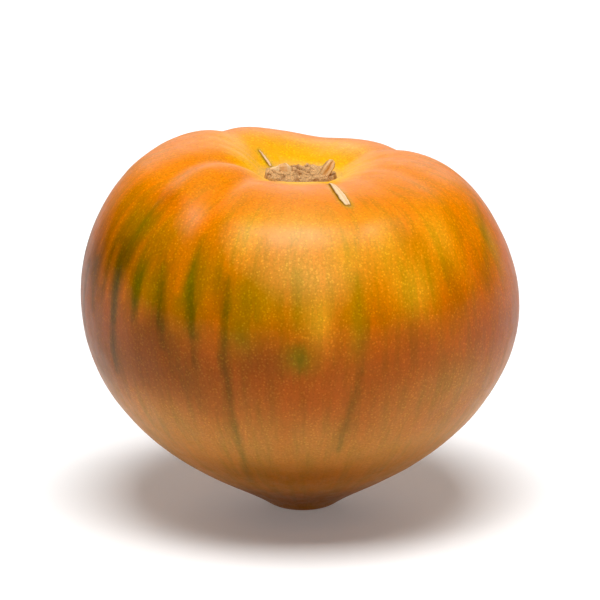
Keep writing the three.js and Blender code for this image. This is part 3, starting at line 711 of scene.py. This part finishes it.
def sliver(name, path, thickness, lift, seed):
    """A lens-shaped sliver that follows the skin."""
    path = np.array(path, float)
    n = 60
    seg = np.concatenate([[0], np.cumsum(np.linalg.norm(np.diff(skin(path[:, 0], path[:, 1]), axis=0), axis=1))])
    length = np.linspace(0, seg[-1], n)

    def along_path(col):
        # smooth the corners of the polyline
        raw = np.interp(length, seg, path[:, col])
        kernel = np.array([1, 2, 3, 4, 3, 2, 1], float)
        padded = np.concatenate([raw[:1].repeat(3) + (raw[0] - raw[3:0:-1]), raw, raw[-1:].repeat(3) + (raw[-1] - raw[-2:-5:-1])])
        return np.convolve(padded, kernel / kernel.sum(), "valid")

    a, s_at, half = along_path(0), along_path(1), np.maximum(along_path(2), 0.05)
    noise = Noise(seed)
    base = skin(a, s_at)
    up = skin_normal(a, s_at)
    tangent = np.gradient(base, axis=0)
    tangent /= np.linalg.norm(tangent, axis=-1, keepdims=True)
    side = np.cross(up, tangent)
    m = 28
    th = np.linspace(0, 2 * np.pi, m, endpoint=False)
    rows = []
    for i in range(n):
        taper = min(1.0, 0.25 + 4 * min(i, n - 1 - i) / n)
        u = np.cos(th)
        edge = half[i] * (1 + 0.10 * noise(np.stack([u * 2, 0 * u + i * 0.35, 0 * u], -1)))
        v = np.where(np.sin(th) > 0, thickness * taper * (np.abs(np.sin(th)) ** 0.7) * (0.72 + 0.28 * u**2), -0.35 * np.abs(np.sin(th)))
        v = v + 0.05 * noise(np.stack([u * 4, 0 * u + i * 0.15, 0 * u + 9], -1)) * (np.sin(th) > 0.2)
        rows.append(base[i] + side[i] * (edge * u)[:, None] + up[i] * (lift + v)[:, None])
    rows = np.array(rows)
    points = np.concatenate([[rows[0].mean(0)], rows.reshape(-1, 3), [rows[-1].mean(0)]])
    out = grid_faces(m, n, 1)
    for j in range(m):
        q = (j + 1) % m
        out.append([0, 1 + q, 1 + j])
        out.append([len(points) - 1, 1 + (n - 1) * m + j, 1 + (n - 1) * m + q])
    obj = mesh_object(name, metres(points), out)
    leaf = np.stack([np.tile(np.cos(th), n), np.repeat(np.linspace(0, 1, n), m), np.zeros(n * m)], -1)
    vector_attribute(obj, "leaf", np.concatenate([[[0, 0, 0]], leaf, [[0, 1, 0]]]))
    return obj


sliver_front = sliver("sepal_sliver_of_front", FRONT_SLIVER, 0.36, 0.06, 61)
sliver_left = sliver("sepal_sliver_of_left", LEFT_SLIVER, 0.3, 0.06, 62)


def dry_leaf(name, pale, mid, dark, edge_dark, edge_width, streak_scale):
    d = Nodes(name, {"IOR": 1.45, "Specular IOR Level": 0.35})
    mm = d.object_mm()
    leaf = d.attribute("leaf", "Vector")
    u, v = split(d, leaf)
    lines = d.noise(stretched(d, leaf, 1, 0.12, 0), streak_scale, 3.0, 0.6)
    blotch = d.noise(mm, 1.4, 3.0, 0.6)
    dots = d.noise(mm, 5.5, 2.0, 0.6)
    col = d.mix(d.ramp(lines, 0.36, 0.62), mid, pale)
    col = d.mix(d.ramp(blotch, 0.52, 0.72, 0.0, 0.7), col, mid)
    col = d.mix(d.ramp(dots, 0.6, 0.74, 0.0, 0.75), col, dark)
    reach = d.math("ADD", d.math("ABSOLUTE", u), d.math("MULTIPLY", d.math("SUBTRACT", blotch, 0.5), 0.3))
    col = d.mix(d.ramp(reach, 1.0 - edge_width, 1.0, 0.0, edge_dark), col, dark)
    d.link(col, d.bsdf.inputs["Base Color"])
    d.link(d.ramp(dots, 0.3, 0.7, 0.65, 0.85), d.bsdf.inputs["Roughness"])
    d.bump((lines, 0.00025, 0.6), (dots, 0.00008, 0.5))
    return d


stub_mat = dry_leaf("dry_stub", (1.0, 0.78, 0.46), (0.90, 0.54, 0.22), (0.32, 0.14, 0.05), 0.7, 0.2, 2.2)
for piece in (tongue, flap):
    piece.data.materials.append(stub_mat.material)
sliver_mat = dry_leaf("dry_sliver", (0.92, 0.66, 0.40), (0.78, 0.50, 0.26), (0.34, 0.19, 0.08), 0.8, 0.24, 2.4)
for piece in (sliver_front, sliver_left):
    piece.data.materials.append(sliver_mat.material)


# ------------------------------------------------------------------ floor, light
def area_light(name, location, target, width, height, power, colour=(1, 1, 1)):
    data = bpy.data.lights.new(name, "AREA")
    data.shape = "RECTANGLE"
    data.size, data.size_y, data.energy, data.color = width, height, power, colour
    lamp = bpy.data.objects.new(name, data)
    scene.collection.objects.link(lamp)
    lamp.location = location
    lamp.rotation_euler = (Vector(target) - Vector(location)).to_track_quat("-Z", "Y").to_euler()
    return lamp


area_light("softbox_top", (0.03, -0.40, 2.0), (0.0, 0.0, 0.06), 1.3, 1.05, 49.0)
area_light("softbox_back", (0.0, 1.6, 0.75), (0.0, 0.0, 0.05), 1.3, 0.9, 3.5)

WORLD_SIDES, WORLD_BEHIND = 0.13, 0.5
world = bpy.data.worlds.new("studio")
scene.world = world
world.use_nodes = True
wt = world.node_tree
wt.nodes.clear()
w_out = wt.nodes.new("ShaderNodeOutputWorld")
w_bg = wt.nodes.new("ShaderNodeBackground")
w_bg.inputs["Strength"].default_value = 1.0
w_geo = wt.nodes.new("ShaderNodeTexCoord")
w_sep = wt.nodes.new("ShaderNodeSeparateXYZ")
w_map = wt.nodes.new("ShaderNodeMapRange")
w_map.interpolation_type = "SMOOTHSTEP"
w_map.inputs[1].default_value, w_map.inputs[2].default_value = 0.7, 0.97
w_map.inputs[3].default_value, w_map.inputs[4].default_value = WORLD_SIDES, WORLD_BEHIND
wt.links.new(w_geo.outputs["Generated"], w_sep.inputs[0])
wt.links.new(w_sep.outputs["Y"], w_map.inputs[0])
wt.links.new(w_map.outputs[0], w_bg.inputs["Color"])
# the backdrop itself is plain white paper
w_paper = wt.nodes.new("ShaderNodeBackground")
w_paper.inputs["Color"].default_value = (1.0, 1.0, 1.0, 1.0)
w_path = wt.nodes.new("ShaderNodeLightPath")
w_mix = wt.nodes.new("ShaderNodeMixShader")
wt.links.new(w_path.outputs["Is Camera Ray"], w_mix.inputs[0])
wt.links.new(w_bg.outputs[0], w_mix.inputs[1])
wt.links.new(w_paper.outputs[0], w_mix.inputs[2])
wt.links.new(w_mix.outputs[0], w_out.inputs["Surface"])

ground = mesh_object("floor", [(-6, -6, -0.0001), (6, -6, -0.0001), (6, 6, -0.0001), (-6, 6, -0.0001)], [[0, 1, 2, 3]], False)
gm = Nodes("floor_pale", {"Base Color": (0.9, 0.9, 0.9, 1), "Roughness": 0.9, "Specular IOR Level": 0.1, "Emission Color": (1, 1, 1, 1), "Emission Strength": 0.15})
# far from the fruit the floor fades into the white backdrop, without adding light of its own
ft = gm.material.node_tree
f_place, f_far, f_fade, f_path, f_glow, f_sum = (ft.nodes.new(t) for t in ("ShaderNodeTexCoord", "ShaderNodeVectorMath", "ShaderNodeMapRange", "ShaderNodeLightPath", "ShaderNodeMath", "ShaderNodeMath"))
f_far.operation = "LENGTH"
f_fade.interpolation_type = "SMOOTHSTEP"
f_fade.inputs[1].default_value, f_fade.inputs[2].default_value = 0.22, 1.1
f_fade.inputs[3].default_value, f_fade.inputs[4].default_value = 0.0, 1.1
f_glow.operation, f_sum.operation = "MULTIPLY", "ADD"
f_sum.inputs[1].default_value = 0.15
ft.links.new(f_place.outputs["Object"], f_far.inputs[0])
ft.links.new(f_far.outputs["Value"], f_fade.inputs[0])
ft.links.new(f_fade.outputs[0], f_glow.inputs[0])
ft.links.new(f_path.outputs["Is Camera Ray"], f_glow.inputs[1])
ft.links.new(f_glow.outputs[0], f_sum.inputs[0])
ft.links.new(f_sum.outputs[0], gm.bsdf.inputs["Emission Strength"])
ground.data.materials.append(gm.material)
# ------------------------------------------------------------------ hand over
for piece, node, slot in ((fruit, "fruit", "skin"), (scar, "stem_scar", "cork"), (tongue, "sepal_stub_right", "dry_sepal"), (flap, "sepal_stub_left", "dry_sepal"),
                          (sliver_left, "sepal_sliver_left", "dry_sepal"), (sliver_front, "sepal_sliver_front", "dry_sepal")):
    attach(piece, "root")
    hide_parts(node)
